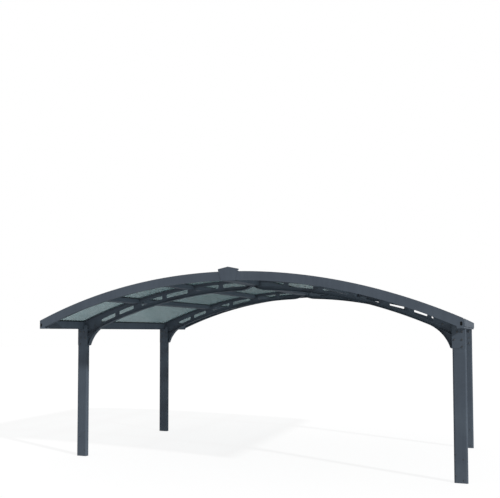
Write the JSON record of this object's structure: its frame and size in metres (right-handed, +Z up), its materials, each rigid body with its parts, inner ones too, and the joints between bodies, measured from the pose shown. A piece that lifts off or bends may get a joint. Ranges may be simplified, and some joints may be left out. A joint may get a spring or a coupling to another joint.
{
  "type": "carport",
  "caption": "Free-standing carport with a shallow arched roof of tinted sheets on slotted arched rafters, box posts and knee brackets.",
  "frame": {"origin": "on the floor, under the middle of the ridge", "axes": "+X across the parking bay from gutter to gutter, +Y along the ridge from front to rear, +Z up"},
  "size_m": [5.9, 5.008, 2.817],
  "materials": {
    "frame": "satin",
    "steel": "satin",
    "sheet": "gloss"
  },
  "bodies": {
    "root": {"arch_rafter_front_left": "frame", "arch_rafter_front_right": "frame", "arch_rafter_rear_left": "frame", "arch_rafter_rear_right": "frame", "end_arch_front_left": "frame", "end_arch_front_right": "frame", "end_arch_rear_left": "frame", "end_arch_rear_right": "frame", "gutter_left_front": "frame", "gutter_left_rear": "frame", "gutter_right_front": "frame", "gutter_right_rear": "frame", "knee_bracket_front_left": "frame", "knee_bracket_front_right": "frame", "knee_bracket_rear_left": "frame", "knee_bracket_rear_right": "frame", "post_foot_front_left": "steel", "post_foot_front_right": "steel", "post_foot_rear_left": "steel", "post_foot_rear_right": "steel", "post_front_left": "frame", "post_front_right": "frame", "post_rear_left": "frame", "post_rear_right": "frame", "purlin_lower_left_front": "frame", "purlin_lower_left_middle": "frame", "purlin_lower_left_rear": "frame", "purlin_lower_right_front": "frame", "purlin_lower_right_middle": "frame", "purlin_lower_right_rear": "frame", "purlin_upper_left_front": "frame", "purlin_upper_left_middle": "frame", "purlin_upper_left_rear": "frame", "purlin_upper_right_front": "frame", "purlin_upper_right_middle": "frame", "purlin_upper_right_rear": "frame", "ridge_beam_left": "frame", "ridge_beam_right": "frame", "ridge_capping": "frame", "ridge_end_front": "frame", "ridge_end_rear": "frame", "roof_sheet_left_front": "sheet", "roof_sheet_left_middle": "sheet", "roof_sheet_left_rear": "sheet", "roof_sheet_right_front": "sheet", "roof_sheet_right_middle": "sheet", "roof_sheet_right_rear": "sheet"}
  },
  "joints": []
}
